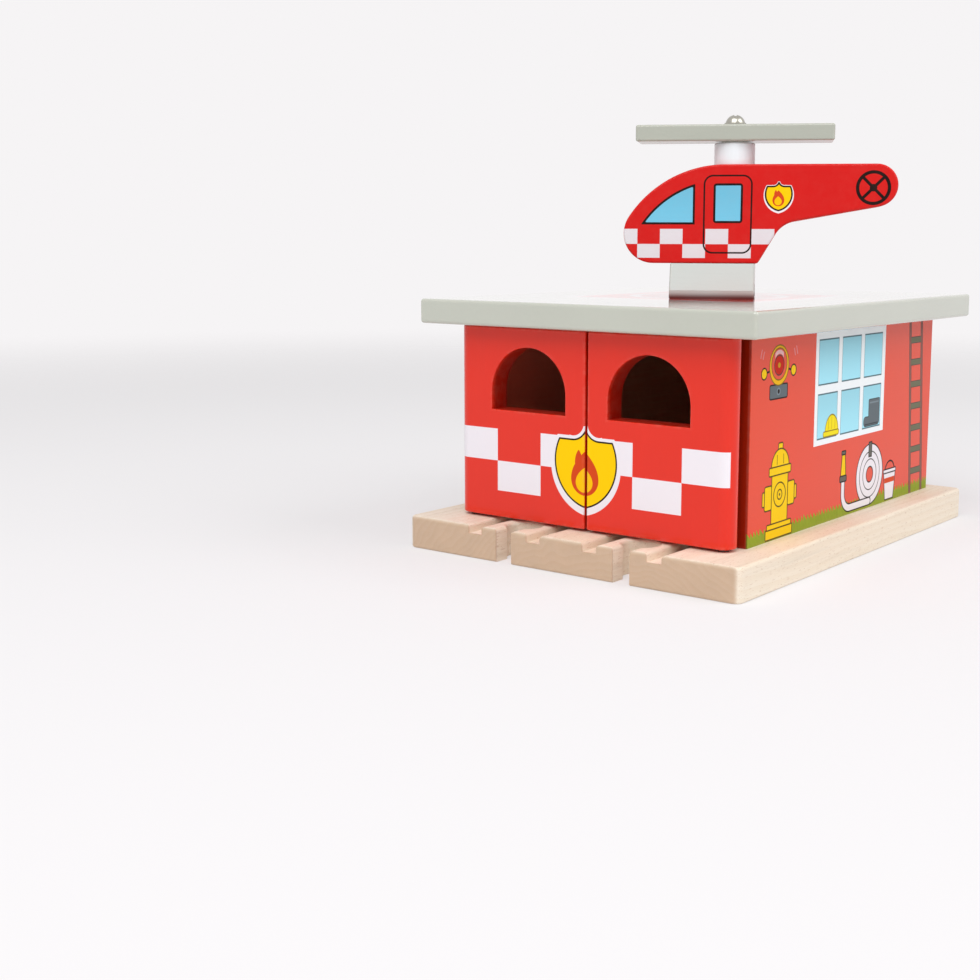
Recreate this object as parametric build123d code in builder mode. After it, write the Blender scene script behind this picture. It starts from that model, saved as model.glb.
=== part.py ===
"""Toy fire station of painted wood, with a helicopter that lands on its roof.

X runs along the front from the left door to the right door, Y runs from the doors to the back
wall, and Z is up. The origin is the middle of the underside of the base board.
"""
import os
from math import acos, asin, atan2, cos, degrees, hypot, radians, sin, tan

from build123d import *

# Base board, as thick as wooden railway track
base_depth = 185.0
base_side_margin = 12.0
base_thickness = 12.0
base_corner_radius = 3.0
base_top_rounding = 1.2
base_bottom_rounding = 0.8

# Track lanes: two grooves each, and a socket that takes the next track's plug
lane_pitch = 50.0
rail_pitch = 26.0
groove_width = 6.0
groove_depth = 3.0
groove_end_gap = 5.0
socket_diameter = 13.0
socket_setback = 12.0
socket_neck_width = 7.0

# Shed walls, cut from one thickness of board
wall_thickness = 9.0
wall_height = 71.0
shed_width = 116.0
wall_front_setback = 25.5
wall_back_setback = 8.0
wall_rounding = 0.8

# Roof board
roof_thickness = 9.0
roof_side_overhang = 12.0
roof_front_setback = 7.0
roof_back_setback = 0.0
roof_rounding = 1.2

# Doors, which turn on pins in their rounded outer edges
door_thickness = 9.0
door_front_setback = 14.5
door_side_inset = 0.5
door_floor_gap = 1.0
door_top_gap = 0.5
door_seam_gap = 1.0
door_rounding = 0.6
window_width = 33.0
window_height = 23.0
window_top_gap = 7.0
window_from_seam = 9.0
window_rounding = 0.4

# Steel pins of the doors
pin_diameter = 4.0
pin_in_door = 12.0
pin_bore_depth = 6.0
pin_chamfer = 0.4

# Fits, as gaps on the radius
running_gap = 0.06
glue_gap = 0.05

# Air left beyond the end of a dowel or screw in its bore
end_gap = 0.5

# Glued dowels between the walls and the roof, and at the back corners
dowel_diameter = 6.0
dowel_length = 15.0
dowel_chamfer = 0.6
roof_dowel_depth = 5.5
corner_dowel_depth = 5.5
corner_dowel_height_shares = (0.25, 0.75)

# Countersunk screws up through the base into the walls
screw_diameter = 3.5
screw_head_diameter = 7.0
screw_cone_angle = 90.0
screw_length = 30.0
screw_tip_length = 4.0
screw_sink = 0.4
recess_width = 0.9
recess_span = 3.8
recess_depth = 1.3

# Where the fixings stand along the walls
side_fixing_shares = (0.16, 0.80)
back_fixing_share = 0.5

# Helicopter: its place on the roof, and the way that its tail points
heli_x = 9.0
heli_y = -9.0
heli_turn = 28.0

# Helicopter's stand, with a notch along its underside
stand_length = 31.0
stand_height = 13.0
stand_foot_width = 27.0
stand_foot_height = 3.2
stand_rounding = 0.5
notch_width = 10.0
notch_height = 5.0
stand_screw_pitch = 17.0
stand_screw_length = 20.0

# Fuselage, one flat board with its outline measured from the middle of the stand
fuselage_thickness = 18.0
fuselage_height = 36.0
fuselage_rounding = 0.8
nose_reach = 33.0
nose_radius = 11.0
brow_reach = 4.0
tail_reach = 66.0
tail_radius = 7.7
boom_root_x = 25.0
boom_root_z = 14.6
boom_root_radius = 10.0
heel_reach = 16.5
heel_radius = 1.5

# Mast, rotor and the screw that the rotor spins on
mast_offset = 7.1
mast_diameter = 15.0
mast_height = 8.0
mast_rounding = 0.7
washer_diameter = 10.0
washer_thickness = 0.4
rotor_length = 72.0
rotor_width = 18.0
rotor_thickness = 6.0
rotor_rounding = 0.8
rotor_turn = 0.0
rotor_play = 0.3
rotor_screw_diameter = 3.5
rotor_screw_in_fuselage = 18.0
rotor_screw_head_diameter = 8.0
rotor_screw_head_height = 3.6
rotor_screw_rim_height = 0.6
rotor_screw_rim_width = 0.4
rotor_screw_recess_depth = 2.4

# One overrun serves all cuts that pass right through
overrun = 1.0

# Heights and places that follow from the sizes above
roof_bottom = base_thickness + wall_height
roof_top = roof_bottom + roof_thickness
base_width = shed_width + 2 * base_side_margin
base_front = -base_depth / 2
base_back = base_depth / 2
wall_front = base_front + wall_front_setback
wall_back = base_back - wall_back_setback
wall_depth = wall_back - wall_front
wall_mid_x = (shed_width - wall_thickness) / 2
back_wall_mid_y = wall_back - wall_thickness / 2
inside_width = shed_width - 2 * wall_thickness
door_bottom = base_thickness + door_floor_gap
door_height = wall_height - door_floor_gap - door_top_gap
door_mid_y = base_front + door_front_setback + door_thickness / 2
door_axis_x = shed_width / 2 - door_side_inset - door_thickness / 2
door_free_edge_x = door_seam_gap / 2
door_front = door_mid_y - door_thickness / 2
window_sill = door_bottom + door_height - window_top_gap - window_height
window_mid_x = window_from_seam + window_width / 2
window_spring_height = window_height - window_width / 2
roof_width = shed_width + 2 * roof_side_overhang
roof_front = base_front + roof_front_setback
roof_back = base_back - roof_back_setback
screw_head_height = (screw_head_diameter - screw_diameter) / 2 / tan(radians(screw_cone_angle / 2))
screw_in_wall = screw_sink + screw_length - base_thickness
dowel_in_wall = dowel_length - roof_dowel_depth
side_fixing_ys = [wall_front + share * wall_depth for share in side_fixing_shares]
back_fixing_x = back_fixing_share * inside_width / 2
fixing_places = [(side * wall_mid_x, y) for side in (-1, 1) for y in side_fixing_ys]
fixing_places += [(side * back_fixing_x, back_wall_mid_y) for side in (-1, 1)]
corner_dowel_zs = [base_thickness + share * wall_height for share in corner_dowel_height_shares]
corner_dowel_end_x = inside_width / 2 + corner_dowel_depth
stand_screw_in_fuselage = notch_height + screw_sink + stand_screw_length - stand_height
mast_bottom = stand_height + fuselage_height
washer_bottom = mast_bottom + mast_height
rotor_bottom = washer_bottom + washer_thickness
rotor_screw_seat = rotor_bottom + rotor_thickness + rotor_play

# The helicopter's own planes: plan is level with the roof, side looks at its flank
tail_direction = Vector(cos(radians(heli_turn)), sin(radians(heli_turn)), 0)
heli_plan = Plane(origin=(heli_x, heli_y, roof_top), x_dir=tail_direction, z_dir=(0, 0, 1))
heli_side = Plane(origin=heli_plan.origin, x_dir=heli_plan.x_dir, z_dir=-heli_plan.y_dir)
heli_section = Plane(origin=heli_plan.origin, x_dir=heli_plan.y_dir, z_dir=heli_plan.x_dir)
mast_plan = Plane(heli_plan.location * Location((mast_offset, 0, 0)))


def save(builder, name):
    """Label a finished piece and write it as its own file."""
    builder.part.label = name
    export_step(builder.part, f"parts/{name}.step")


def facing_up(x, y, z):
    """Place whose drilling direction is up instead of down."""
    return Location((x, y, z), (180, 0, 0))


def both_sides(x, y):
    """The same place left and right of the middle."""
    return [(-x, y), (x, y)]


def countersunk_screw(length):
    """Wood screw with its head's top at the origin and its point at minus length."""
    with BuildPart() as screw:
        with BuildSketch(Plane.XZ):
            with BuildLine():
                Polyline((0, 0), (screw_head_diameter / 2, 0), (screw_diameter / 2, -screw_head_height),
                         (screw_diameter / 2, screw_tip_length - length), (0, -length), close=True)
            make_face()
        revolve(axis=Axis.Z)
        with BuildSketch():
            Rectangle(recess_span, recess_width)
            Rectangle(recess_width, recess_span)
        extrude(amount=-recess_depth, mode=Mode.SUBTRACT)
    return screw.part


os.makedirs("parts", exist_ok=True)

# Base board: grooves run in under the doors, sockets open at the front edge
with BuildPart() as base:
    with BuildSketch():
        RectangleRounded(base_width, base_depth, base_corner_radius)
    extrude(amount=base_thickness)
    fillet(base.faces().sort_by(Axis.Z)[0].edges(), base_bottom_rounding)
    groove_end = wall_back - wall_thickness - groove_end_gap - groove_width / 2
    groove_start = base_front - overrun
    groove_xs = [lane * lane_pitch / 2 + rail * rail_pitch / 2 for lane in (-1, 1) for rail in (-1, 1)]
    with BuildSketch(Plane.XY.offset(base_thickness)):
        with Locations(*[(x, (groove_start + groove_end) / 2) for x in groove_xs]):
            Rectangle(groove_width, groove_end - groove_start)
        with Locations(*[(x, groove_end) for x in groove_xs]):
            Circle(groove_width / 2)
    extrude(amount=-groove_depth, mode=Mode.SUBTRACT)
    neck_run = socket_setback + overrun
    socket_y = base_front + socket_setback
    with BuildSketch():
        with Locations(*both_sides(lane_pitch / 2, socket_y)):
            Circle(socket_diameter / 2)
        with Locations(*both_sides(lane_pitch / 2, socket_y - neck_run / 2)):
            Rectangle(socket_neck_width, neck_run)
    extrude(amount=base_thickness, mode=Mode.SUBTRACT)
    fillet(base.faces().sort_by(Axis.Z)[-1].edges(), base_top_rounding)
    with Locations(*[(x, y, base_thickness) for x, y in both_sides(door_axis_x, door_mid_y)]):
        Hole(pin_diameter / 2 + running_gap, pin_bore_depth)
    with Locations(*[facing_up(x, y, 0) for x, y in fixing_places]):
        CounterSinkHole(screw_diameter / 2 + glue_gap, screw_head_diameter / 2 + screw_sink + glue_gap,
                        base_thickness, screw_cone_angle)
save(base, "base")

# Side walls: each takes two base screws, two roof dowels and two dowels of the back corner
for side, name in ((-1, "left_wall"), (1, "right_wall")):
    with BuildPart() as side_wall:
        with BuildSketch(Plane.XY.offset(base_thickness)):
            with Locations((side * wall_mid_x, (wall_front + wall_back) / 2)):
                Rectangle(wall_thickness, wall_depth)
        extrude(amount=wall_height)
        fillet(side_wall.edges().filter_by(Axis.Z), wall_rounding)
        with Locations(*[facing_up(side * wall_mid_x, y, base_thickness) for y in side_fixing_ys]):
            Hole(screw_diameter / 2 + glue_gap, screw_in_wall)
        with Locations(*[(side * wall_mid_x, y, roof_bottom) for y in side_fixing_ys]):
            Hole(dowel_diameter / 2 + glue_gap, dowel_in_wall + end_gap)
        with Locations(*[Location((side * inside_width / 2, back_wall_mid_y, z), (0, -side * 90, 0))
                         for z in corner_dowel_zs]):
            Hole(dowel_diameter / 2 + glue_gap, corner_dowel_depth)
    save(side_wall, name)

# Back wall, which stands between the side walls
with BuildPart() as back_wall:
    with BuildSketch(Plane.XY.offset(base_thickness)):
        with Locations((0, back_wall_mid_y)):
            Rectangle(inside_width, wall_thickness)
    extrude(amount=wall_height)
    back_fixing_places = both_sides(back_fixing_x, back_wall_mid_y)
    with Locations(*[facing_up(x, y, base_thickness) for x, y in back_fixing_places]):
        Hole(screw_diameter / 2 + glue_gap, screw_in_wall)
    with Locations(*[(x, y, roof_bottom) for x, y in back_fixing_places]):
        Hole(dowel_diameter / 2 + glue_gap, dowel_in_wall + end_gap)
    with Locations(*[Location((side * inside_width / 2, back_wall_mid_y, z), (0, side * 90, 0))
                     for side in (-1, 1) for z in corner_dowel_zs]):
        Hole(dowel_diameter / 2 + glue_gap, dowel_length - corner_dowel_depth + end_gap)
save(back_wall, "back_wall")

# Roof board, drilled from below for the door pins and the dowels
with BuildPart() as roof:
    with BuildSketch(Plane.XY.offset(roof_bottom)):
        with Locations((0, (roof_front + roof_back) / 2)):
            Rectangle(roof_width, roof_back - roof_front)
    extrude(amount=roof_thickness)
    fillet(roof.edges(), roof_rounding)
    with Locations(*[facing_up(x, y, roof_bottom) for x, y in both_sides(door_axis_x, door_mid_y)]):
        Hole(pin_diameter / 2 + running_gap, pin_bore_depth)
    with Locations(*[facing_up(x, y, roof_bottom) for x, y in fixing_places]):
        Hole(dowel_diameter / 2 + glue_gap, roof_dowel_depth)
save(roof, "roof")

# Doors, each with an arched window and a full round along its outer edge
for side, name in ((-1, "left_door"), (1, "right_door")):
    with BuildPart() as door:
        with BuildSketch(Plane.XY.offset(door_bottom)):
            with Locations((side * (door_free_edge_x + door_axis_x) / 2, door_mid_y)):
                Rectangle(door_axis_x - door_free_edge_x, door_thickness)
            with Locations((side * door_axis_x, door_mid_y)):
                Circle(door_thickness / 2)
        extrude(amount=door_height)
        free_edges = door.edges().filter_by(Axis.Z).sort_by(Axis.X)[::side][:2]
        ends = door.faces().filter_by(Axis.Z).edges()
        fillet(free_edges + ends, door_rounding)
        sill_middle = (side * window_mid_x, door_front, window_sill)
        with BuildSketch(Plane(origin=sill_middle, x_dir=(1, 0, 0), z_dir=(0, -1, 0))):
            with BuildLine():
                CenterArc((0, window_spring_height), window_width / 2, 0, 180)
                Polyline((-window_width / 2, window_spring_height), (-window_width / 2, 0),
                         (window_width / 2, 0), (window_width / 2, window_spring_height))
            make_face()
        extrude(amount=door_thickness + overrun, both=True, mode=Mode.SUBTRACT)
        flats = door.faces().filter_by(Axis.Y).sort_by(SortBy.AREA)[-2:]
        window_wires = [wire for flat in flats for wire in flat.inner_wires()]
        fillet([edge for wire in window_wires for edge in wire.edges()], window_rounding)
        with Locations(facing_up(side * door_axis_x, door_mid_y, door_bottom),
                       Location((side * door_axis_x, door_mid_y, door_bottom + door_height))):
            Hole(pin_diameter / 2 + glue_gap, pin_in_door)
    save(door, name)

# Door pins: each lower one stands on the bottom of its bore and carries the door
lower_pin = (base_thickness - pin_bore_depth, door_bottom + pin_in_door)
upper_pin = (door_bottom + door_height - pin_in_door, roof_bottom + pin_bore_depth - end_gap)
for side, name, ends in ((-1, "left_door_lower_pin", lower_pin), (-1, "left_door_upper_pin", upper_pin),
                         (1, "right_door_lower_pin", lower_pin), (1, "right_door_upper_pin", upper_pin)):
    with BuildPart() as pin:
        with Locations((side * door_axis_x, door_mid_y, ends[0])):
            Cylinder(pin_diameter / 2, ends[1] - ends[0], align=(Align.CENTER, Align.CENTER, Align.MIN))
        chamfer(pin.edges().filter_by(GeomType.CIRCLE), pin_chamfer)
    save(pin, name)

# Fixings of the shed
with BuildPart() as dowel:
    Cylinder(dowel_diameter / 2, dowel_length, align=(Align.CENTER, Align.CENTER, Align.MAX))
    chamfer(dowel.edges().filter_by(GeomType.CIRCLE), dowel_chamfer)

with BuildPart() as roof_dowels:
    with Locations(*[(x, y, roof_bottom + roof_dowel_depth) for x, y in fixing_places]):
        add(dowel.part)
save(roof_dowels, "roof_dowels")

with BuildPart() as corner_dowels:
    with Locations(*[Location((side * corner_dowel_end_x, back_wall_mid_y, z), (0, side * 90, 0))
                     for side in (-1, 1) for z in corner_dowel_zs]):
        add(dowel.part)
save(corner_dowels, "corner_dowels")

with BuildPart() as base_screws:
    with Locations(*[facing_up(x, y, screw_sink) for x, y in fixing_places]):
        add(countersunk_screw(screw_length))
save(base_screws, "base_screws")

# Helicopter's stand, screwed to the fuselage from inside its notch
stand_screw_spots = [facing_up(side * stand_screw_pitch / 2, 0, 0) for side in (-1, 1)]
stand_screw_places = [heli_plan.offset(notch_height).location * spot for spot in stand_screw_spots]
with BuildPart() as stand:
    with BuildSketch(heli_section):
        with BuildLine():
            Polyline((-stand_foot_width / 2, 0), (-notch_width / 2, 0), (-notch_width / 2, notch_height),
                     (notch_width / 2, notch_height), (notch_width / 2, 0), (stand_foot_width / 2, 0),
                     (stand_foot_width / 2, stand_foot_height), (fuselage_thickness / 2, stand_height),
                     (-fuselage_thickness / 2, stand_height), (-stand_foot_width / 2, stand_foot_height),
                     close=True)
        make_face()
    extrude(amount=stand_length / 2, both=True)
    fillet(stand.faces().filter_by(heli_section).edges(), stand_rounding)
    with Locations(*stand_screw_places):
        CounterSinkHole(screw_diameter / 2 + glue_gap, screw_head_diameter / 2 + screw_sink + glue_gap,
                        stand_height - notch_height, screw_cone_angle)
save(stand, "stand")

with BuildPart() as stand_screws:
    with Locations(*[place * Location((0, 0, -screw_sink)) for place in stand_screw_places]):
        add(countersunk_screw(stand_screw_length))
save(stand_screws, "stand_screws")

# Fuselage outline: a round nose runs into the long curve of the cockpit, tangent at both ends
nose_x = nose_radius - nose_reach
cockpit_run = brow_reach - nose_x
cockpit_radius = ((cockpit_run ** 2 + fuselage_height ** 2 - 2 * fuselage_height * nose_radius)
                  / (2 * (fuselage_height - 2 * nose_radius)))
cockpit_z = fuselage_height - cockpit_radius
nose_angle = degrees(atan2(nose_radius - cockpit_z, nose_x - brow_reach))
tail_x = tail_reach - tail_radius
tail_z = fuselage_height - tail_radius
boom_angle = degrees(atan2(boom_root_z - tail_z, boom_root_x - tail_x)
                     + acos(tail_radius / hypot(boom_root_x - tail_x, boom_root_z - tail_z)))
boom_end = (tail_x + tail_radius * cos(radians(boom_angle)),
            tail_z + tail_radius * sin(radians(boom_angle)))
with BuildPart() as fuselage:
    with BuildSketch(heli_side):
        with BuildLine(Location((0, stand_height, 0))):
            CenterArc((nose_x, nose_radius), nose_radius, 270, nose_angle - 270)
            CenterArc((brow_reach, cockpit_z), cockpit_radius, nose_angle, 90 - nose_angle)
            Line((brow_reach, fuselage_height), (tail_x, fuselage_height))
            CenterArc((tail_x, tail_z), tail_radius, 90, boom_angle - 90)
            FilletPolyline(boom_end, (boom_root_x, boom_root_z), (heel_reach, 0), (nose_x, 0),
                           radius=(boom_root_radius, heel_radius))
        make_face()
    extrude(amount=fuselage_thickness / 2, both=True)
    fillet(fuselage.faces().filter_by(heli_side).edges(), fuselage_rounding)
    with Locations(*[heli_plan.offset(stand_height).location * spot for spot in stand_screw_spots]):
        Hole(screw_diameter / 2 + glue_gap, stand_screw_in_fuselage + end_gap)
    with Locations(mast_plan.offset(mast_bottom).location):
        Hole(rotor_screw_diameter / 2 + glue_gap, rotor_screw_in_fuselage + end_gap)
save(fuselage, "fuselage")

with BuildPart() as mast:
    with BuildSketch(mast_plan.offset(mast_bottom)):
        Circle(mast_diameter / 2)
    extrude(amount=mast_height)
    fillet(mast.edges().sort_by(Axis.Z)[-1], mast_rounding)
    with Locations(mast_plan.offset(washer_bottom).location):
        Hole(rotor_screw_diameter / 2 + glue_gap, mast_height)
save(mast, "mast")

with BuildPart() as rotor_washer:
    with BuildSketch(mast_plan.offset(washer_bottom)):
        Circle(washer_diameter / 2)
        Circle(rotor_screw_diameter / 2 + running_gap, mode=Mode.SUBTRACT)
    extrude(amount=washer_thickness)
save(rotor_washer, "rotor_washer")

with BuildPart() as rotor:
    with BuildSketch(mast_plan.offset(rotor_bottom).rotated((0, 0, rotor_turn))):
        Rectangle(rotor_length, rotor_width)
    extrude(amount=rotor_thickness)
    fillet(rotor.edges(), rotor_rounding)
    with Locations(mast_plan.offset(rotor_bottom + rotor_thickness).location):
        Hole(rotor_screw_diameter / 2 + running_gap, rotor_thickness)
save(rotor, "rotor")

# Rotor screw: a domed head over a plain neck that the rotor spins on
rotor_screw_length = rotor_screw_seat - mast_bottom + rotor_screw_in_fuselage
dome_base_radius = rotor_screw_head_diameter / 2 - rotor_screw_rim_width
dome_height = rotor_screw_head_height - rotor_screw_rim_height
dome_radius = (dome_base_radius ** 2 + dome_height ** 2) / (2 * dome_height)
dome_start_angle = degrees(asin((dome_radius - dome_height) / dome_radius))
with BuildPart() as rotor_screw:
    seat_plan = mast_plan.offset(rotor_screw_seat)
    with BuildSketch(Plane(origin=seat_plan.origin, x_dir=(1, 0, 0), z_dir=(0, -1, 0))):
        with BuildLine():
            Polyline((0, rotor_screw_head_height), (0, -rotor_screw_length),
                     (rotor_screw_diameter / 2, screw_tip_length - rotor_screw_length),
                     (rotor_screw_diameter / 2, 0), (rotor_screw_head_diameter / 2, 0),
                     (rotor_screw_head_diameter / 2, rotor_screw_rim_height),
                     (dome_base_radius, rotor_screw_rim_height))
            CenterArc((0, rotor_screw_head_height - dome_radius), dome_radius,
                      dome_start_angle, 90 - dome_start_angle)
        make_face()
    revolve(axis=Axis(mast_plan.origin, (0, 0, 1)))
    with BuildSketch(seat_plan.offset(rotor_screw_head_height)):
        Rectangle(recess_span, recess_width)
        Rectangle(recess_width, recess_span)
    extrude(amount=-rotor_screw_recess_depth, mode=Mode.SUBTRACT)
save(rotor_screw, "rotor_screw")
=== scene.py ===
"""Looks of the toy fire station: paint, prints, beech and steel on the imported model, and a studio."""

import math
from functools import reduce

import bmesh
import bpy
from mathutils import Matrix, Vector


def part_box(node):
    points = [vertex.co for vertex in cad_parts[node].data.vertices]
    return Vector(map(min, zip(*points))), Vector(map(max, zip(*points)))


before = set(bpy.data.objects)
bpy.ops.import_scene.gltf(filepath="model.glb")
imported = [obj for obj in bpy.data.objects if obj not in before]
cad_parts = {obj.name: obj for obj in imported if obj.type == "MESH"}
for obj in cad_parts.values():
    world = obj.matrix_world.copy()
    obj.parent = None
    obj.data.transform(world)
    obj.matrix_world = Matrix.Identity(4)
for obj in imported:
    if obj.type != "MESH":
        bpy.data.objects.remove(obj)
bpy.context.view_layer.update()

bl_info = {
    "name": "Toy Fire Station Looks",
    "version": (1, 0, 0),
    "blender": (4, 5, 0),
    "location": "3D View > Sidebar > Fire Station",
    "description": "Paints the packed toy fire station and sets up its studio",
    "category": "Material",
}


def box_mm(node):
    """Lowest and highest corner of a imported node, in millimetres."""
    low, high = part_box(node)
    return [c * 1000 for c in low], [c * 1000 for c in high]


# Places that the prints are laid out from, in millimetres
base_top = box_mm("base")[1][2]
wall_low, wall_high = box_mm("right_wall")
door_low, door_high = box_mm("right_door")
roof_low, roof_high = box_mm("roof")
rotor_low, rotor_high = box_mm("rotor")
mast_low, mast_high = box_mm("mast")
fuselage_bottom = box_mm("fuselage")[0][2]
mast_axis = [(mast_low[i] + mast_high[i]) / 2 for i in (0, 1)]

# Arched windows of the doors: middle from the seam, radius, sill and foot of the arch
door_window_middle, door_window_radius = 25.5, 16.5
door_window_sill, door_window_spring = 52.5, 59.0

# The helicopter stands turned on the roof, with its mast this far towards the tail from its stand
tail_turn = math.radians(28.0)
mast_offset = 7.1
fuselage_half = 9.0
stand_half, stand_height = 15.5, 13.0
rotor_half = (36.0, 9.0)
heli_middle = (mast_axis[0] - mast_offset * math.cos(tail_turn),
               mast_axis[1] - mast_offset * math.sin(tail_turn))

# Motifs of the side walls: along the wall from its left end, and up from the base
hydrant_middle = 22.4
bell_middle, bell_height, bell_box_height = 19.8, 60.0, 51.1
window_middle, window_height, window_size = 76.25, 49.25, (58.6, 40.6)
helmet_middle, boot_middle = 61.0, 97.0
ladder_foot, ladder_lean = 139.6, 0.0775
coil_middle, coil_height = 95.0, 12.9
nozzle_middle, hose_corner = 71.9, 8.6
pail_middle = 113.6

# Rows of checks: middle and half of the height, and where the rows begin or end
door_upper_row, door_lower_row, door_rows_end = (39.65, 5.85), (28.3, 5.5), 56.6
heli_upper_row, heli_lower_row = (9.81, 2.77), (4.5, 2.54)
heli_rows_start, heli_rows_end = -27.8, 22.4

# Square lamps, in metres: side, place and the point that both shine at
top_lamp_side, top_lamp_place = 1.1, (0.2, -0.95, 1.15)
side_lamp_side, side_lamp_place = 0.9, (1.05, 0.25, 0.95)
lamps_aim = (0.0, 0.0, 0.06)


def srgb(red, green, blue):
    """Linear values of a colour that a screen shows as 0 to 255."""
    shares = [channel / 255 for channel in (red, green, blue)]
    return [s / 12.92 if s <= 0.04045 else ((s + 0.055) / 1.055) ** 2.4 for s in shares]


def toned(colour, factor):
    """The same colour, lighter or darker."""
    return [min(channel * factor, 1.0) for channel in colour]


def blended(under, over, share):
    """Two fixed colours mixed."""
    return [u + (o - u) * share for u, o in zip(under, over)]


# Fixed colours laid in the paint: bare wood where it is sprayed thinly, rubbed wood at worn edges, and
# a dark red that is painted shade
bare_wood = srgb(226, 196, 168)
rubbed_wood = srgb(238, 214, 190)
shaded_paint = srgb(84, 12, 8)

# Scales of the paint's patterns in turns per millimetre, and of turning marks in radians
mottle_scale, streak_scale, rub_scale, peel_scale, dent_scale = 0.035, 0.9, 0.3, 1.1, 0.045
turning_marks = 42.0

# Heights of the relief of planed wood and of plated steel, in metres
wood_relief, steel_relief = 0.00006, 0.00002


def colour_setting(name, description, *rgb):
    return bpy.props.FloatVectorProperty(
        name=name, description=description, default=srgb(*rgb), subtype="COLOR", size=3,
        min=0.0, max=1.0)


def size_setting(name, description, millimetres):
    return bpy.props.FloatProperty(
        name=name, description=description, default=millimetres / 1000, min=0.0, precision=5,
        unit="LENGTH")


def share_setting(name, description, share):
    return bpy.props.FloatProperty(
        name=name, description=description, default=share, min=0.0, max=1.0, subtype="FACTOR")


class FireStationColours(bpy.types.PropertyGroup):
    """Paints, inks and wood."""
    red_paint: colour_setting("Red paint", "Walls, doors and fuselage", 229, 37, 6)
    grey_paint: colour_setting("Grey paint", "Roof, stand and rotor", 191, 194, 182)
    white_paint: colour_setting("White paint", "Mast", 238, 242, 246)
    white_ink: colour_setting("White ink", "Checks, shields' borders and hose", 241, 236, 242)
    frame_ink: colour_setting("Frame ink", "Frame of the printed window", 244, 250, 253)
    yellow_ink: colour_setting("Yellow ink", "Shields", 255, 208, 0)
    brass_ink: colour_setting("Brass ink", "Hydrant, helmet and bell", 248, 205, 4)
    flame_ink: colour_setting("Flame ink", "Flames on the shields", 214, 74, 28)
    pane_ink: colour_setting("Pane ink", "Panes of the printed window", 167, 230, 247)
    cockpit_ink: colour_setting("Cockpit ink", "Windows of the helicopter", 118, 196, 226)
    grass_ink: colour_setting("Grass ink", "Grass along the walls", 148, 166, 44)
    iron_ink: colour_setting("Iron ink", "Ladder and fittings", 104, 100, 92)
    slate_ink: colour_setting("Slate ink", "Boot and bell's box", 98, 108, 114)
    line_ink: colour_setting("Line ink", "Outlines", 30, 18, 16)
    beech_light: colour_setting("Light beech", "Early wood", 245, 238, 224)
    beech_dark: colour_setting("Dark beech", "Late wood", 231, 217, 195)
    beech_fleck: colour_setting("Beech fleck", "Rays and pores", 186, 146, 112)
    beech_end: colour_setting("Beech end", "End grain", 188, 158, 130)
    steel: colour_setting("Steel", "Screws, pins and washer", 178, 176, 166)


class FireStationPrint(bpy.types.PropertyGroup):
    """Sizes of the prints and of the paint's own relief."""
    ink_edge: size_setting("Ink edge", "Softness of a print's edge", 0.12)
    line: size_setting("Outline", "Width of the outlines of the wall print", 0.5)
    check: size_setting("Door check", "Width of a check on the doors", 19.6)
    heli_check: size_setting("Helicopter check", "Width of a check on the helicopter", 8.36)
    pad_side: size_setting("Landing pad", "Side of the white square on the roof", 82.0)
    pad_border: size_setting("Pad border", "Width of the white border", 4.0)
    ring_width: size_setting("Growth rings", "Mean width of the beech's growth rings", 2.6)
    paint_relief: size_setting("Paint relief", "Height of the grain under the paint", 0.05)
    wear: share_setting("Wear", "How far the paint is rubbed along its edges", 0.22)
    lacquer: share_setting("Lacquer", "Clear gloss over the paint", 0.75)
    ink_lacquer: share_setting("Lacquer on ink", "Clear gloss over the prints", 0.02)


class FireStationStudio(bpy.types.PropertyGroup):
    """Floor, lamps and camera."""
    floor_radius: size_setting("Floor", "Radius of the floor", 2600.0)
    floor_colour: colour_setting("Floor colour", "Pale floor", 238, 236, 238)
    floor_lift: share_setting("Floor lift", "How far the camera sees the floor as backdrop", 0.45)
    backdrop: colour_setting("Backdrop", "What the camera sees behind", 246, 244, 245)
    daylight: bpy.props.FloatProperty(
        name="Daylight", description="Strength of the even light from all sides", default=0.44, min=0.0)
    top_lamp: bpy.props.FloatProperty(
        name="Top lamp", description="Power of the large lamp above the front", default=13.6, min=0.0,
        unit="POWER")
    side_lamp: bpy.props.FloatProperty(
        name="Side lamp", description="Power of the lamp above the right side", default=7.8, min=0.0,
        unit="POWER")
    lens: bpy.props.FloatProperty(
        name="Lens", description="Focal length on a 36 mm sensor", default=52.653, min=1.0,
        unit="CAMERA")
    camera_place: bpy.props.FloatVectorProperty(
        name="Camera place", description="Where the camera stands",
        default=(0.28609, -0.47929, 0.11495), size=3, subtype="XYZ", unit="LENGTH", precision=5)
    camera_yaw: bpy.props.FloatProperty(
        name="Yaw", description="Turn to the left of the camera's view along Y",
        default=math.radians(37.365), unit="ROTATION")
    camera_pitch: bpy.props.FloatProperty(
        name="Pitch", description="Tilt of the camera's view below level",
        default=math.radians(8.152), unit="ROTATION")
    camera_roll: bpy.props.FloatProperty(
        name="Roll", description="Turn of the camera about its view",
        default=math.radians(0.167), unit="ROTATION")
    camera_shift: bpy.props.FloatVectorProperty(
        name="Shift", description="Camera's shift right and up, in widths of the frame",
        default=(-0.05, -0.05), size=2, subtype="XYZ", precision=3)


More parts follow.
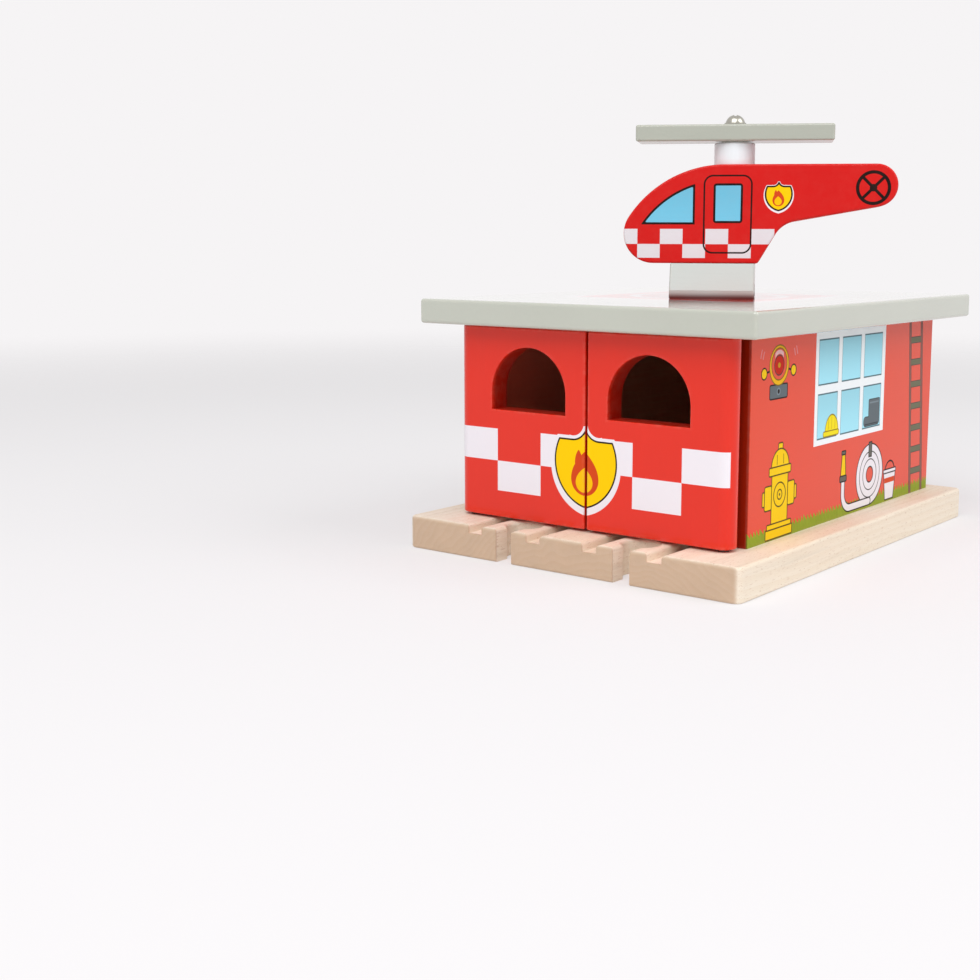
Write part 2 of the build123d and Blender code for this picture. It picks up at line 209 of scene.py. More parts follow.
class Value:
    """One output of a node, so that shader maths reads as arithmetic."""

    def __init__(self, finish, socket):
        self.finish = finish
        self.socket = socket

    def __add__(self, other):
        return self.finish.maths("ADD", self, other)

    def __radd__(self, other):
        return self.finish.maths("ADD", other, self)

    def __sub__(self, other):
        return self.finish.maths("SUBTRACT", self, other)

    def __rsub__(self, other):
        return self.finish.maths("SUBTRACT", other, self)

    def __mul__(self, other):
        return self.finish.maths("MULTIPLY", self, other)

    def __rmul__(self, other):
        return self.finish.maths("MULTIPLY", other, self)

    def __truediv__(self, other):
        return self.finish.maths("DIVIDE", self, other)

    def __rtruediv__(self, other):
        return self.finish.maths("DIVIDE", other, self)

    def __pow__(self, other):
        return self.finish.maths("POWER", self, other)

    def __rpow__(self, other):
        return self.finish.maths("POWER", other, self)

    def __neg__(self):
        return self.finish.maths("MULTIPLY", self, -1.0)

    def __abs__(self):
        return self.finish.maths("ABSOLUTE", self)


class Finish:
    """One material under construction, or another node tree that is given."""

    def __init__(self, name, tree=None):
        if tree is None:
            self.material = bpy.data.materials.new(name)
            self.material.use_nodes = True
            tree = self.material.node_tree
        self.tree = tree
        tree.nodes.clear()

    def node(self, kind, settings=None, sockets=None, output=0):
        """Add any node: its settings first, then the values or links of its sockets."""
        node = self.tree.nodes.new(kind)
        for name, value in (settings or {}).items():
            setattr(node, name, value)
        for key, value in (sockets or {}).items():
            socket = node.inputs[key]
            if isinstance(value, Value):
                self.tree.links.new(value.socket, socket)
            elif socket.type == "RGBA":
                socket.default_value = (*value, 1.0)
            else:
                socket.default_value = value
        if isinstance(output, tuple):
            return [Value(self, node.outputs[key]) for key in output]
        return Value(self, node.outputs[output]) if len(node.outputs) else None

    def maths(self, operation, *values, clamp=False):
        settings = {"operation": operation, "use_clamp": clamp}
        return self.node("ShaderNodeMath", settings, dict(enumerate(values)))

    def mix(self, under, over, share):
        sockets = {0: share, 6: under, 7: over}
        return self.node("ShaderNodeMix", {"data_type": "RGBA"}, sockets, output=2)

    def millimetres(self):
        """Place on the piece, in millimetres: the vector and its three parts."""
        metres = self.node("ShaderNodeTexCoord", output="Object")
        place = self.node("ShaderNodeVectorMath", {"operation": "SCALE"}, {0: metres, "Scale": 1000.0})
        return place, self.node("ShaderNodeSeparateXYZ", {}, {0: place}, output=(0, 1, 2))

    def vector(self, x, y, z):
        return self.node("ShaderNodeCombineXYZ", {}, {0: x, 1: y, 2: z})

    def noise(self, place, scale, detail=2.0, roughness=0.5):
        """Noise from 0 to 1; scale is in turns per millimetre."""
        return self.node("ShaderNodeTexNoise", {}, {
            "Vector": place, "Scale": scale, "Detail": detail, "Roughness": roughness})

    def stretched(self, place, along, factor):
        """The place squeezed along one axis, so that noise on it runs in streaks."""
        scale = [factor if axis == along else 1.0 for axis in "XYZ"]
        return self.node("ShaderNodeVectorMath", {"operation": "MULTIPLY"}, {0: place, 1: scale})

    def ramp(self, value, low, high):
        """0 at low, 1 at high, smooth between and level outside."""
        return self.node("ShaderNodeMapRange", {"interpolation_type": "SMOOTHSTEP"}, {
            "Value": value, "From Min": low, "From Max": high})

    def relief(self, height, distance, strength):
        """A bump for the Normal socket; distance is in metres."""
        return self.node("ShaderNodeBump", {}, {
            "Strength": strength, "Distance": distance, "Height": height})

    def seen(self):
        """1 for rays from the camera, off gloss and through glass, and 0 for all others."""
        return most(*self.node("ShaderNodeLightPath", output=(
            "Is Camera Ray", "Is Glossy Ray", "Is Transmission Ray")))

    def mix_shaders(self, under, over, share):
        return self.node("ShaderNodeMixShader", {}, {0: share, 1: under, 2: over})

    def surface(self, **sockets):
        """End the material in one shader; underscores stand for spaces in the sockets' names."""
        named = {key.replace("_", " "): value for key, value in sockets.items()}
        shader = self.node("ShaderNodeBsdfPrincipled", {}, named)
        self.node("ShaderNodeOutputMaterial", {}, {"Surface": shader})
        return self.material


def pick(operation, values):
    """Smallest or largest of some values, fixed numbers among them."""
    shown = [v for v in values if isinstance(v, Value)]
    fixed = [v for v in values if not isinstance(v, Value)]
    if fixed:
        shown.append(min(fixed) if operation == "MINIMUM" else max(fixed))
    return reduce(lambda a, b: a.finish.maths(operation, a, b), shown)


def least(*values):
    return pick("MINIMUM", values)


def most(*values):
    return pick("MAXIMUM", values)


# Shapes, as distances in millimetres that are below zero inside
def reach(u, v):
    return (u * u + v * v) ** 0.5


def disc(u, v, radius):
    return reach(u, v) - radius


def ring(u, v, radius, stroke):
    return abs(reach(u, v) - radius) - stroke / 2


def plate(u, v, width, height):
    return most(abs(u) - width / 2, abs(v) - height / 2)


def round_plate(u, v, width, height, corner):
    beyond_u = most(abs(u) - (width / 2 - corner), 0.0)
    beyond_v = most(abs(v) - (height / 2 - corner), 0.0)
    return reach(beyond_u, beyond_v) - corner


def bar(u, v, start, end, width):
    """A straight stroke with round ends."""
    run, rise = end[0] - start[0], end[1] - start[1]
    size = math.hypot(run, rise)
    c, s = run / size, rise / size
    du, dv = u - start[0], v - start[1]
    along, across = du * c + dv * s, dv * c - du * s
    return reach(most(-along, along - size, 0.0), across) - width / 2


class Ink:
    """A print that grows over painted ground, colour by colour."""

    def __init__(self, finish, ground, soft):
        self.finish = finish
        self.ground = ground
        self.colour = ground
        self.soft = soft
        self.cover = 0.0

    def cut(self, distance):
        """How far a point is inside a shape, with the edge softened."""
        return self.finish.maths("MULTIPLY_ADD", distance, -1 / self.soft, 0.5, clamp=True)

    def lay(self, distance, colour, on_ink=False):
        share = self.cut(distance)
        self.colour = self.finish.mix(self.colour, colour, share)
        if not on_ink:
            self.cover = most(share, self.cover)

    def outlined(self, distance, colour, line_colour, line):
        self.lay(distance - line / 2, line_colour)
        self.lay(distance + line / 2, colour, on_ink=True)

    def kept_to(self, face):
        """The finished colour and cover, on this part of the surface alone."""
        return self.finish.mix(self.ground, self.colour, face), self.cover * face


def teardrop(x, rise, radius, height, lean=0.9):
    """A flame's body: round below, drawn out to a tip at the given height above its middle."""
    share = most(rise, 0.0) / height
    width = radius * most(1.0 - share * share, 0.0) ** lean
    return most(reach(x, least(rise, 0.0)) - width, rise - height)


def print_shield(ink, x, rise, scale, colours):
    """Shield with a flame; x is from its middle line and rise from the middle of its height."""
    x, rise = x / scale, rise / scale
    a = abs(x)
    sides = disc(a + 3.47, rise - 2.9, 16.47)
    peak = most(a - 5.5, 5.88 - reach(a - 5.5, rise - 16.3), rise - 14.2)
    body = most(sides, least(rise - 10.4, peak)) * scale
    ink.lay(body - (2.0 - rise * 0.05) * scale, colours.white_ink)
    ink.lay(body - 0.3, colours.line_ink, on_ink=True)
    ink.lay(body + 0.3, colours.yellow_ink, on_ink=True)
    tongue = teardrop(x + 2.9, rise - 2.6, 1.6, 4.4, lean=0.8)
    flame = least(teardrop(x + 0.25, rise + 3.2, 5.85, 9.9, lean=1.05), tongue)
    ink.lay(flame * scale, colours.flame_ink, on_ink=True)
    amber = blended(colours.yellow_ink, colours.flame_ink, 0.12)
    ink.lay(teardrop(x + 0.5, rise + 4.4, 3.6, 5.2, lean=1.0) * scale, amber, on_ink=True)


def print_grass(ink, s, h, colours):
    finish = ink.finish
    lean = s + h * 0.35
    tall = finish.noise(finish.vector(s, 0.0, 0.0), 0.21, detail=1.0)
    blade = finish.maths("PINGPONG", lean + tall * 3.0, 1.15)
    edge = 3.1 + blade * (0.7 + 2.4 * tall)
    shade = finish.noise(finish.vector(lean, h * 0.3, 0.0), 0.8, detail=2.0)
    green = finish.mix(toned(colours.grass_ink, 0.78), toned(colours.grass_ink, 1.12), shade)
    ink.lay((h - edge) * 0.45, green)


def print_hydrant(ink, s, h, colours, line):
    a = abs(s - hydrant_middle)
    brass, dark = colours.brass_ink, blended(colours.line_ink, colours.brass_ink, 0.08)
    for shape in (
            round_plate(a - 11.2, h - 15.0, 2.2, 5.0, 0.6),
            round_plate(a - 8.2, h - 15.0, 5.0, 8.4, 0.9),
            plate(a, h - 13.8, 11.6, 17.4),
            round_plate(a, h - 2.2, 19.2, 3.4, 0.5),
            round_plate(a, h - 4.8, 17.4, 1.9, 0.5),
            round_plate(a, h - 32.1, 3.2, 2.4, 0.6),
            most(disc(a, h - 25.0, 6.3), 25.0 - h),
            round_plate(a, h - 23.8, 15.6, 2.9, 0.6)):
        ink.outlined(shape, brass, dark, line)
    rib = most(abs(a - 2.3) - line * 0.35, abs(h - 27.6) - 1.7)
    boss = least(ring(a, h - 15.4, 4.2, line), ring(a, h - 15.4, 1.7, line), disc(a, h - 15.4, 0.5))
    ink.lay(least(rib, boss), dark, on_ink=True)


def print_bell(ink, s, h, colours, line):
    a, rise = abs(s - bell_middle), h - bell_height
    warm = blended(colours.brass_ink, colours.flame_ink, 0.25)
    box_rise = h - bell_box_height
    ink.outlined(round_plate(a, box_rise, 12.6, 4.8, 0.7), colours.slate_ink, colours.line_ink, line)
    ink.lay(disc(a, box_rise, 1.3), toned(colours.slate_ink, 1.8), on_ink=True)
    ink.lay(disc(a, box_rise, 0.8), colours.line_ink, on_ink=True)
    ink.lay(bar(a, rise, (6.4, -1.6), (9.4, -2.2), 0.7), colours.line_ink)
    ink.outlined(disc(a - 10.4, rise + 2.3, 1.9), colours.brass_ink, colours.line_ink, line)
    rim = most(disc(a, rise, 6.8), -disc(a, rise - 0.4, 5.4))
    ink.outlined(rim, warm, blended(colours.line_ink, colours.brass_ink, 0.2), line * 0.8)
    ink.lay(disc(a, rise, 3.4), toned(colours.red_paint, 0.72))
    ink.lay(ring(a, rise, 3.4, 0.4), toned(colours.line_ink, 2.6), on_ink=True)
    ink.lay(disc(a, rise, 0.9), toned(warm, 0.7), on_ink=True)
    gleam = most(ring(a, rise, 4.5, 1.3), a - 3.0, 2.2 - rise)
    ink.lay(gleam, blended(colours.red_paint, colours.white_ink, 0.6))
    arcs = least(ring(a, rise, 11.7, 0.6), ring(a, rise, 13.4, 0.6))
    marks = most(arcs, abs(rise - a * 0.36) - a * 0.13)
    ink.lay(marks, blended(colours.red_paint, colours.white_ink, 0.3))


def print_window(ink, s, h, colours, line):
    """Window of six panes, with a helmet and a boot on its sill."""
    finish = ink.finish
    frame_edge = plate(s - window_middle, h - window_height, *window_size)
    ink.lay(frame_edge, colours.frame_ink)
    pane_width, pane_height, half_pitch, half_rise = 15.7, 16.4, 9.375, 9.75
    across = finish.maths("WRAP", s - 76.0, half_pitch, -half_pitch)
    up = finish.maths("WRAP", h - 39.25, half_rise, -half_rise)
    pane = most(plate(across, up, pane_width, pane_height), frame_edge + 2.0)
    ink.lay(pane - line * 0.15, blended(colours.line_ink, colours.pane_ink, 0.2), on_ink=True)
    light = finish.ramp(up, -9.0, 9.0)
    glass = finish.mix(toned(colours.pane_ink, 1.04), toned(colours.pane_ink, 0.88), light)
    inner = most(abs(across) - (pane_width / 2 - line * 0.3), abs(up) - (pane_height / 2 - line * 0.9),
                 pane + line * 0.3)
    ink.lay(inner, glass, on_ink=True)
    olive = blended(colours.line_ink, colours.yellow_ink, 0.3)
    dome = most(disc(s - helmet_middle, (h - 32.8) * 0.82, 5.3), 32.6 - h, h - 39.6)
    lemon = blended(colours.yellow_ink, srgb(236, 244, 30), 0.5)
    ink.outlined(dome, lemon, olive, line * 0.8)
    brim = round_plate(s - 60.6, h - 32.5, 12.6, 1.9, 0.8)
    ink.outlined(brim, lemon, olive, line * 0.8)
    a = abs(s - helmet_middle)
    ridge = most(least(a, abs(a - 2.6)) - 0.16, abs(h - 36.2) - 2.2)
    ink.lay(ridge, blended(colours.line_ink, colours.yellow_ink, 0.62), on_ink=True)
    dark_slate, shaft, foot = toned(colours.slate_ink, 0.4), s - boot_middle, s - 94.9
    boot = least(round_plate(shaft, h - 37.2, 9.6, 9.4, 0.5),
                 round_plate(foot, h - 33.6, 13.8, 3.6, 1.6))
    ink.outlined(boot, colours.slate_ink, dark_slate, line * 0.7)
    ink.lay(most(abs(h - 40.6) - 0.3, abs(shaft) - 4.0), toned(colours.slate_ink, 1.7), on_ink=True)
    ink.lay(most(abs(h - 32.5) - 0.25, abs(foot) - 5.8), dark_slate, on_ink=True)


def print_ladder(ink, s, h, colours, line):
    from_middle = abs(s - (ladder_foot - h * ladder_lean))
    rail = abs(from_middle - 5.6) - 0.95
    half_rise = 4.435
    step = most(abs(ink.finish.maths("WRAP", h - 9.0, half_rise, -half_rise)) - 1.2,
                from_middle - 5.2, 6.5 - h)
    ink.lay(least(rail, step) - line * 0.3, blended(colours.iron_ink, colours.line_ink, 0.5))
    ink.lay(step + line * 0.3, blended(colours.iron_ink, colours.grass_ink, 0.12), on_ink=True)
    ink.lay(rail + line * 0.3, blended(colours.iron_ink, colours.red_paint, 0.2), on_ink=True)


def print_hose(ink, s, h, colours, line):
    """Coiled hose with its nozzle standing up, and a bucket."""
    hose, dark = colours.white_ink, colours.line_ink
    hose_width, half_turn, corner_middle = 2.9, 1.46, 78.0
    turn = reach(s - coil_middle, h - coil_height)
    ink.outlined(abs(turn - 7.4) - 4.4, hose, dark, line)
    rim = abs(ink.finish.maths("WRAP", turn - 3.0, half_turn, -half_turn)) - line * 0.4
    ink.lay(most(rim, abs(turn - 7.4) - 3.9), dark, on_ink=True)
    corner = most(ring(s - corner_middle, h - hose_corner, 6.1, hose_width),
                  s - corner_middle, h - hose_corner)
    level = bar(s, h, (corner_middle, 2.5), (coil_middle, 2.5), hose_width)
    upright = bar(s, h, (nozzle_middle, hose_corner), (nozzle_middle, 13.0), hose_width)
    ink.outlined(least(level, corner, upright), hose, dark, line)
    strap = plate(s - coil_middle, h - 22.6, 2.6, 5.6)
    ink.outlined(strap, colours.iron_ink, dark, line)
    across = s - nozzle_middle
    spout = most(abs(across) - (2.3 - (h - 14.0) * 0.11), abs(h - 18.9) - 4.9)
    ink.outlined(spout, colours.brass_ink, dark, line)
    ink.outlined(round_plate(across, h - 14.2, 5.6, 2.2, 0.5), colours.iron_ink, dark, line)
    ink.outlined(round_plate(across, h - 23.9, 3.4, 1.4, 0.4), colours.iron_ink, dark, line)
    across = s - pail_middle
    ink.lay(most(ring(across, h - 11.4, 4.5, line * 1.4), 11.0 - h), dark)
    pail = most(abs(across) - (3.7 + h * 0.15), abs(h - 6.4) - 5.7)
    ink.outlined(pail, hose, dark, line)
    ink.lay(most(abs(h - 8.3) - 1.0, pail + 0.3), colours.flame_ink, on_ink=True)
    ink.outlined(round_plate(across, h - 12.0, 11.6, 1.5, 0.6), hose, dark, line)


def box_edge(parts, low, high):
    """Distance from a box's nearest edge, on its surface: the middle one of three gaps to its faces."""
    x_gap, y_gap, z_gap = [
        (high[i] - low[i]) / 2 - abs(parts[i] - (high[i] + low[i]) / 2) for i in range(3)]
    return most(least(x_gap, y_gap), least(most(x_gap, y_gap), z_gap))


def painted(name, colour, prints, grain, edge=None, decorate=None, inside=None, shade=None,
            turned=False, gloss=0.36, clear=1.0, ink_lacquer=None, shine=0.09):
    """Lacquered paint over planed wood: faint grain, orange peel, small dents and rubbed edges.

    Four functions may change it: edge gives the distance from the nearest edge, decorate adds the
    print, inside says where paint is sprayed thinly and turns lighter towards the back as painted
    light, and shade where dark red painted shade is laid and the lacquer thinned. The grain of
    turned paint follows the helicopter.
    """
    finish = Finish(name)
    place, parts = finish.millimetres()
    if turned:
        place = finish.vector(*heli_parts(parts))
    mottle = finish.noise(place, mottle_scale, detail=3.0)
    streak = finish.noise(finish.stretched(place, grain, 0.06), streak_scale, detail=3.0, roughness=0.6)
    ground = finish.mix(toned(colour, 0.93), toned(colour, 1.05), mottle * 0.7 + streak * 0.3)
    coat, cover, lacquer = ground, 0.0, prints.lacquer * clear
    if decorate:
        coat, cover = decorate(finish, parts, ground)
        lacquer = lacquer - cover * (lacquer - ink_lacquer)
    rough = gloss + mottle * 0.08 + cover * 0.05
    if edge:
        near = 1.0 - finish.ramp(edge(parts), 0.0, 1.5)
        patches = finish.noise(place, rub_scale, detail=4.0, roughness=0.7)
        rub = near * finish.ramp(patches, 0.35, 0.75) * prints.wear
        coat = finish.mix(coat, blended(colour, rubbed_wood, 0.45), rub)
        rough = rough + rub * 0.2
    if inside:
        thin = inside(finish, parts) * (0.7 + streak * 0.3)
        # Towards the back the thin paint turns to nearly bare wood: painted light, lightening the
        # inside where light would come in from the back
        back_light_share = finish.ramp(parts[1], wall_low[1], wall_high[1] - 30.0)
        sprayed = finish.mix(blended(toned(colour, 0.9), bare_wood, 0.2),
                             blended(colour, bare_wood, 0.85), back_light_share)
        coat = finish.mix(coat, sprayed, thin)
        lacquer = lacquer * (1.0 - thin)
        rough = rough + thin * 0.25
    # Painted shade: dark red laid where the shade function says, with the lacquer thinned there
    if shade:
        painted_shade_share = shade(finish, parts)
        coat = finish.mix(coat, shaded_paint, painted_shade_share)
        lacquer = lacquer * (1.0 - painted_shade_share)
    peel = finish.noise(place, peel_scale, detail=1.0)
    dents = finish.node("ShaderNodeTexVoronoi", {"feature": "SMOOTH_F1"}, {
        "Vector": place, "Scale": dent_scale, "Smoothness": 0.3}, output="Distance")
    height = streak * 0.75 + peel * 0.25 + finish.ramp(dents, 0.0, 0.045) * 0.9
    return finish.surface(
        Base_Color=coat, Roughness=rough, Normal=finish.relief(height, prints.paint_relief, 0.75),
        IOR=1.5, Specular_IOR_Level=shine, Coat_Weight=lacquer, Coat_Roughness=0.09)


def beech(name, colours, prints, grain, ends=None):
    """Planed beech: growth rings about an axis along the grain, pores, ray flecks and darker ends."""
    finish = Finish(name)
    place, parts = finish.millimetres()
    across = [parts["XYZ".index(axis)] for axis in "XYZ" if axis != grain]
    warp = finish.noise(finish.stretched(place, grain, 0.12), 0.05, detail=2.0)
    # The heart of the log that the board was sawn from, outside the board
    heart = (21.0, -64.0)
    growth = reach(across[0] - heart[0], across[1] - heart[1]) + warp * 16.0
    turn = finish.maths("FRACT", growth / (prints.ring_width * 1000))
    late = finish.ramp(turn, 0.15, 0.95) * (0.5 + 0.5 * warp)
    streak = finish.noise(finish.stretched(place, grain, 0.05), 1.3, detail=3.0, roughness=0.65)
    broad = finish.noise(finish.stretched(place, grain, 0.3), 0.022, detail=2.0)
    tone = finish.mix(colours.beech_light, colours.beech_dark, late * 0.55 + streak * 0.5 - 0.1)
    tone = finish.mix(tone, blended(colours.beech_light, srgb(232, 204, 170), 0.6), broad * 0.7)
    pores = finish.ramp(finish.noise(finish.stretched(place, grain, 0.09), 3.6, detail=1.0), 0.62, 0.74)
    rays = finish.ramp(finish.noise(finish.stretched(place, grain, 0.28), 1.9, detail=1.0), 0.68, 0.76)
    vein = finish.ramp(finish.noise(finish.stretched(place, grain, 0.03), 0.4, detail=3.0), 0.5, 0.72)
    tone = finish.mix(tone, toned(colours.beech_dark, 0.86), vein * 0.4)
    tone = finish.mix(tone, colours.beech_fleck, pores * 0.4 + rays * 0.5)
    if ends:
        from_middle = abs(parts["XYZ".index(grain)] - (ends[0] + ends[1]) / 2)
        end = finish.ramp(from_middle, (ends[1] - ends[0]) / 2 - 0.9, (ends[1] - ends[0]) / 2)
        cloud = finish.noise(place, 0.16, detail=4.0, roughness=0.65)
        tone = finish.mix(tone, finish.mix(colours.beech_end, toned(colours.beech_end, 1.22), cloud),
                          end * (0.84 + late * 0.05))
    bump = finish.relief(streak * 0.6 - pores * 0.7 - late * 0.2, wood_relief, 0.7)
    rough = 0.5 + streak * 0.14 + pores * 0.1
    return finish.surface(Base_Color=tone, Roughness=rough, Normal=bump, IOR=1.48)


def steel(name, colours, turned_about=None, shadow_tone=1.0):
    """Zinc-plated steel, with turning marks about an axis where one is given."""
    finish = Finish(name)
    place, parts = finish.millimetres()
    cloud = finish.noise(place, 0.7, detail=3.0)
    fine = finish.noise(place, 6.0, detail=2.0)
    if turned_about:
        radius = reach(parts[0] - turned_about[0], parts[1] - turned_about[1])
        height = fine * 0.7 + finish.maths("SINE", radius * turning_marks) * 0.15
    else:
        height = fine * 0.7 + finish.noise(finish.stretched(place, "Z", 0.1), 5.0) * 0.3
    # shadow_tone below 1 darkens the steel as painted shade
    tone = finish.mix(toned(colours.steel, 0.84 * shadow_tone), toned(colours.steel, 1.06 * shadow_tone), cloud)
    return finish.surface(Base_Color=tone, Metallic=1.0, Roughness=0.2 + cloud * 0.16,
                          Normal=finish.relief(height, steel_relief, 0.5))


def dress(material, *nodes):
    """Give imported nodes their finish."""
    for name in nodes:
        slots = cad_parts[name].material_slots
        if not slots:
            raise RuntimeError(f"{name} has no material slot")
        for slot in slots:
            slot.material = material


def heli_parts(parts):
    """Place on the helicopter: towards its tail, off its middle plane, and up from its underside."""
    c, s = math.cos(tail_turn), math.sin(tail_turn)
    dx, dy = parts[0] - heli_middle[0], parts[1] - heli_middle[1]
    return dx * c + dy * s, dy * c - dx * s, parts[2] - fuselage_bottom


class FIRESTATION_OT_paint_base(bpy.types.Operator):
    """Give the base board its planed beech"""
    bl_idname = "firestation.paint_base"
    bl_label = "Finish Base"

    def execute(self, context):
        scene = context.scene
        low, high = box_mm("base")
        dress(beech("base_beech", scene.fire_colours, scene.fire_print, "Y", (low[1], high[1])), "base")
        return {"FINISHED"}


class FIRESTATION_OT_paint_walls(bpy.types.Operator):
    """Paint the walls red and print both side walls"""
    bl_idname = "firestation.paint_walls"
    bl_label = "Paint Walls"

    def execute(self, context):
        colours, prints = context.scene.fire_colours, context.scene.fire_print
        line = prints.line * 1000
        middle_y = (wall_low[1] + wall_high[1]) / 2
        half = (wall_high[1] - wall_low[1]) / 2

        def decorate(finish, parts, ground):
            x, y, z = parts
            s = half + finish.maths("SIGN", x) * (y - middle_y)
            h = z - base_top
            ink = Ink(finish, ground, prints.ink_edge * 1000)
            print_window(ink, s, h, colours, line)
            print_bell(ink, s, h, colours, line)
            print_grass(ink, s, h, colours)
            print_ladder(ink, s, h, colours, line)
            print_hydrant(ink, s, h, colours, line)
            print_hose(ink, s, h, colours, line)
            return ink.kept_to(finish.ramp(abs(x), wall_high[0] - 0.45, wall_high[0] - 0.25))

        def side_edge(parts):
            across = (abs(parts[0]), parts[1], parts[2])
            return box_edge(across, wall_low, wall_high)

        def side_inside(finish, parts):
            return 1.0 - finish.ramp(abs(parts[0]), wall_low[0] + 0.1, wall_low[0] + 0.5)

        def back_edge(parts):
            return box_edge(parts, *box_mm("back_wall"))

        def back_inside(finish, parts):
            inner = box_mm("back_wall")[0][1]
            return 1.0 - finish.ramp(parts[1], inner + 0.1, inner + 0.5)

        # Painted shade on the side walls' front ends, in the narrow gap behind the doors
        def front_end_shade(finish, parts):
            return 0.72 - finish.ramp(parts[1], wall_low[1] + 0.2, wall_low[1] + 0.9) * 0.72

        # A warmer, lighter copy of the red paint on the side walls: painted sheen, standing in for the
        # white wash of their gloss
        sheen_warmed_red = blended(colours.red_paint, srgb(238, 122, 30), 0.16)
        dress(painted("side_wall_red", sheen_warmed_red, prints, "Y", side_edge, decorate, side_inside,
                      front_end_shade, clear=0.8, ink_lacquer=prints.ink_lacquer), "left_wall", "right_wall")
        dress(painted("back_wall_red", colours.red_paint, prints, "X", back_edge, inside=back_inside),
              "back_wall")
        return {"FINISHED"}


class FIRESTATION_OT_paint_doors(bpy.types.Operator):
    """Paint the doors red and print their checks and shield"""
    bl_idname = "firestation.paint_doors"
    bl_label = "Paint Doors"

    def execute(self, context):
        colours, prints = context.scene.fire_colours, context.scene.fire_print
        check = prints.check * 1000

        def decorate(finish, parts, ground):
            x, y, z = parts
            ink = Ink(finish, ground, prints.ink_edge * 1000)
            beside = abs(abs(x) - 1.5 * check) - check / 2
            outer = abs(x) - door_rows_end
            upper = most(-beside, abs(z - door_upper_row[0]) - door_upper_row[1], outer)
            lower = most(beside, abs(z - door_lower_row[0]) - door_lower_row[1])
            ink.lay(least(upper, lower), colours.white_ink)
            print_shield(ink, x, z - 34.1, 1.0, colours)
            front = door_low[1] + 0.45 + finish.ramp(abs(x), door_high[0] - 4.5, door_high[0]) * 3.4
            return ink.kept_to(1.0 - finish.ramp(y - front, -0.1, 0.1))

        def from_window(parts):
            off, above = abs(parts[0]) - door_window_middle, most(parts[2] - door_window_spring, 0.0)
            return abs(most(reach(off, above) - door_window_radius, door_window_sill - parts[2]))

        def edge(parts):
            across = (abs(parts[0]), parts[1], parts[2])
            return least(box_edge(across, door_low, door_high), from_window(parts) + 0.3)

        def reveal(finish, parts):
            """Painted shade on the windows' reveals and on the doors' free edges at the seam."""
            depth = finish.ramp(parts[1], door_low[1] + 0.5, door_low[1] + 2.5)
            window = finish.ramp(from_window(parts), 0.1, 0.5) * -0.5 + 0.5
            free_edge = finish.ramp(abs(parts[0]), door_low[0] + 0.1, door_low[0] + 0.5) * -0.7 + 0.7
            return depth * most(window, free_edge)

        def inside(finish, parts):
            return finish.ramp(parts[1], door_high[1] - 0.5, door_high[1] - 0.1)

        dress(painted("door_red", colours.red_paint, prints, "Z", edge, decorate, inside, reveal,
                      ink_lacquer=prints.ink_lacquer), "left_door", "right_door")
        return {"FINISHED"}


class FIRESTATION_OT_paint_roof(bpy.types.Operator):
    """Paint the roof grey and print its landing pad"""
    bl_idname = "firestation.paint_roof"
    bl_label = "Paint Roof"

    def execute(self, context):
        colours, prints = context.scene.fire_colours, context.scene.fire_print
        side, border = prints.pad_side * 1000, prints.pad_border * 1000
        middle_y = (roof_low[1] + roof_high[1]) / 2

        def decorate(finish, parts, ground):
            x, y, z = parts
            v = y - middle_y
            ink = Ink(finish, ground, prints.ink_edge * 1000)
            red = finish.mix(toned(colours.red_paint, 0.95), toned(colours.red_paint, 1.04),
                             finish.noise(finish.vector(x, v, 0.0), 0.05))
            ink.lay(plate(x, v, side, side), colours.white_ink)
            ink.lay(plate(x, v, side - 2 * border, side - 2 * border), red, on_ink=True)
            letter = least(plate(abs(x) - 13.5, v, 6.4, 29.0), plate(x, v, 24.0, 6.0))
            ink.lay(least(ring(x, v, 28.5, 4.0), letter), colours.white_ink, on_ink=True)
            return ink.kept_to(finish.ramp(z, roof_high[2] - 0.5, roof_high[2] - 0.3))

        def edge(parts):
            return box_edge(parts, roof_low, roof_high)

        dress(painted("roof_grey", colours.grey_paint, prints, "Y", edge, decorate, gloss=0.13,
                      clear=1.3, ink_lacquer=1.0, shine=0.5), "roof")
        return {"FINISHED"}


